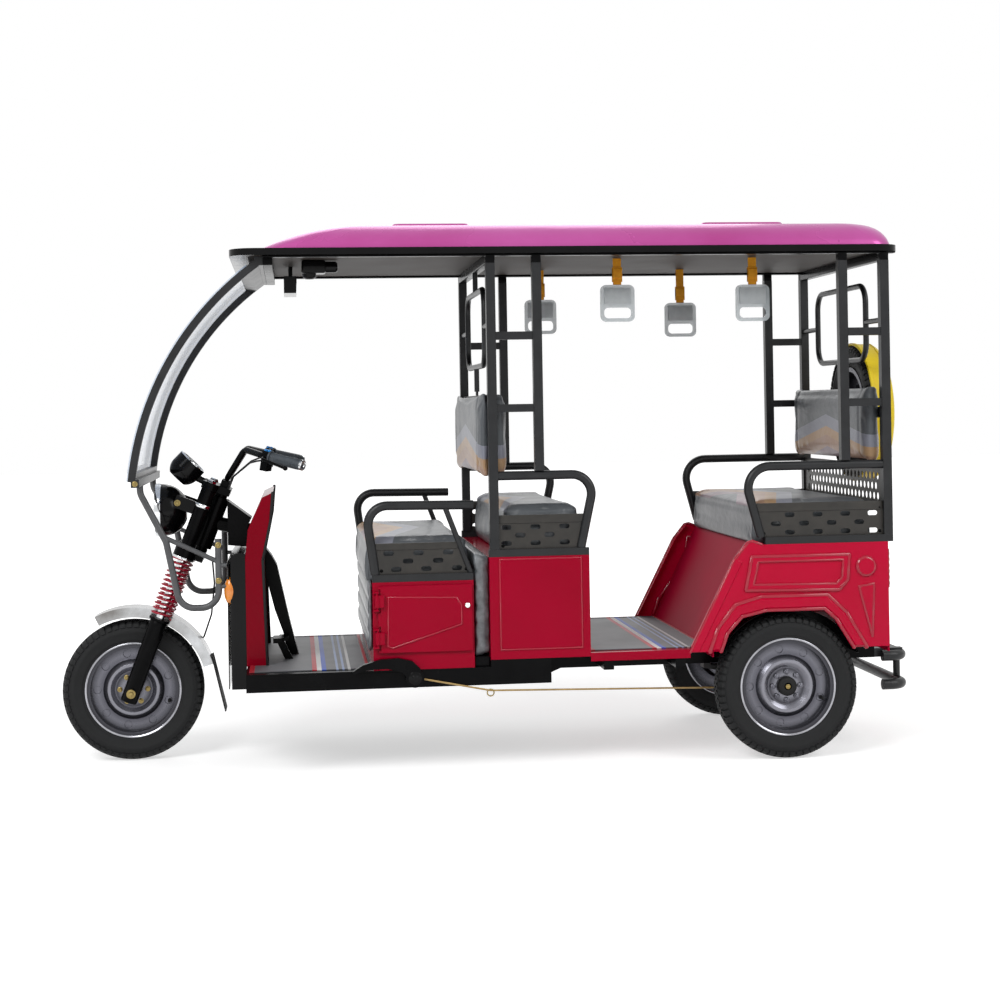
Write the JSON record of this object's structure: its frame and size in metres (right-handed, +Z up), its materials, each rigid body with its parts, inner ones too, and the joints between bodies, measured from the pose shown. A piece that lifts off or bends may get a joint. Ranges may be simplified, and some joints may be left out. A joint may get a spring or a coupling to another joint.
{
  "type": "electric tricycle",
  "caption": "Electric passenger tricycle with open sides, canopy roof, curved windscreen, bench seats, raked sprung fork, perforated seat guards and a covered spare wheel.",
  "frame": {"origin": "middle of the bounding box on the ground", "axes": "+X to the rear along the length, +Y to the vehicle's right, +Z up"},
  "size_m": [2.8952, 1.004, 1.8062],
  "materials": {
    "amber": "gloss",
    "battery": "matte",
    "black_paint": "satin",
    "black_plastic": "gloss",
    "black_rubber": "matte",
    "cable": "satin",
    "clear_plastic": "gloss",
    "floor_mat": "matte",
    "glass": "gloss",
    "guard_grey": "satin",
    "hoop_grey": "satin",
    "lamp_red": "gloss",
    "lining": "matte",
    "mirror_black": "gloss",
    "red_paint": "gloss",
    "rim": "satin",
    "roof_red": "gloss",
    "spring_red": "gloss",
    "stainless": "brushed",
    "steel_dark": "matte",
    "strap": "matte",
    "tyre": "matte",
    "vinyl": "satin",
    "yellow_cover": "satin"
  },
  "bodies": {
    "chassis": {"armrests": "black_paint", "back_plates": "guard_grey", "backrests": "vinyl", "battery_pack": "battery", "canopy_posts": "black_paint", "chassis_frame": "black_paint", "driver_box": "red_paint", "front_apron": "black_plastic", "front_floor": "floor_mat", "guard_hoops": "hoop_grey", "handbrake_cable": "cable", "handbrake_lever": "black_paint", "handle_straps": "strap", "hanging_handles": "clear_plastic", "head_hoops": "black_paint", "head_tube": "black_paint", "indicator_lamps": "amber", "inside_mirror": "mirror_black", "knee_brace": "black_paint", "leaf_springs": "steel_dark", "leg_shield": "red_paint", "mid_box": "red_paint", "post_rungs": "black_paint", "rear_axle": "steel_dark", "rear_bumper": "black_paint", "rear_floor": "red_paint", "rear_seat_shell": "red_paint", "rear_sides": "red_paint", "roof_frame": "black_paint", "roof_lining": "lining", "roof_shell": "roof_red", "roof_trim": "black_plastic", "seat_cushions": "vinyl", "seat_guards": "guard_grey", "seat_rails": "black_paint", "spare_carrier": "black_paint", "spare_cover": "yellow_cover", "spare_rim": "rim", "spare_tyre": "tyre", "tail_lamps": "lamp_red", "windscreen_frame": "black_paint", "windscreen_glass": "glass"},
    "steering": {"fork_legs": "black_paint", "fork_springs": "spring_red", "fork_yokes": "black_paint", "handlebar": "black_paint", "handlebar_grips": "black_rubber", "headlamp": "black_plastic", "headlamp_lens": "glass", "gauge_pod": "black_plastic", "front_mudguard": "stainless", "mud_flap": "black_rubber", "front_brake_cable": "black_rubber"},
    "front_wheel": {"front_tyre": "tyre", "front_rim": "rim"},
    "rear_wheel_left": {"rear_left_tyre": "tyre", "rear_left_rim": "rim"},
    "rear_wheel_right": {"rear_right_tyre": "tyre", "rear_right_rim": "rim"},
    "locker_door": {"driver_box_door": "red_paint"}
  },
  "joints": [
    {"name": "steering", "type": "hinge", "parent": "chassis", "child": "steering", "pos_m": [-0.93224, 0, 0.80967], "axis": [0.3665, 0, 0.9304], "range_deg": [-40, 40]},
    {"name": "front_wheel_spin", "type": "hinge", "parent": "steering", "child": "front_wheel", "pos_m": [-1.205, 0, 0.24], "axis": [0, 1, 0], "continuous": true},
    {"name": "rear_wheel_left_spin", "type": "hinge", "parent": "chassis", "child": "rear_wheel_left", "pos_m": [0.98, -0.423, 0.24], "axis": [0, 1, 0], "continuous": true},
    {"name": "rear_wheel_right_spin", "type": "hinge", "parent": "chassis", "child": "rear_wheel_right", "pos_m": [0.98, 0.423, 0.24], "axis": [0, 1, 0], "continuous": true},
    {"name": "locker_door", "type": "hinge", "parent": "chassis", "child": "locker_door", "pos_m": [-0.386, -0.498, 0.51], "axis": [0, 0, -1], "range_deg": [0, 100]}
  ]
}
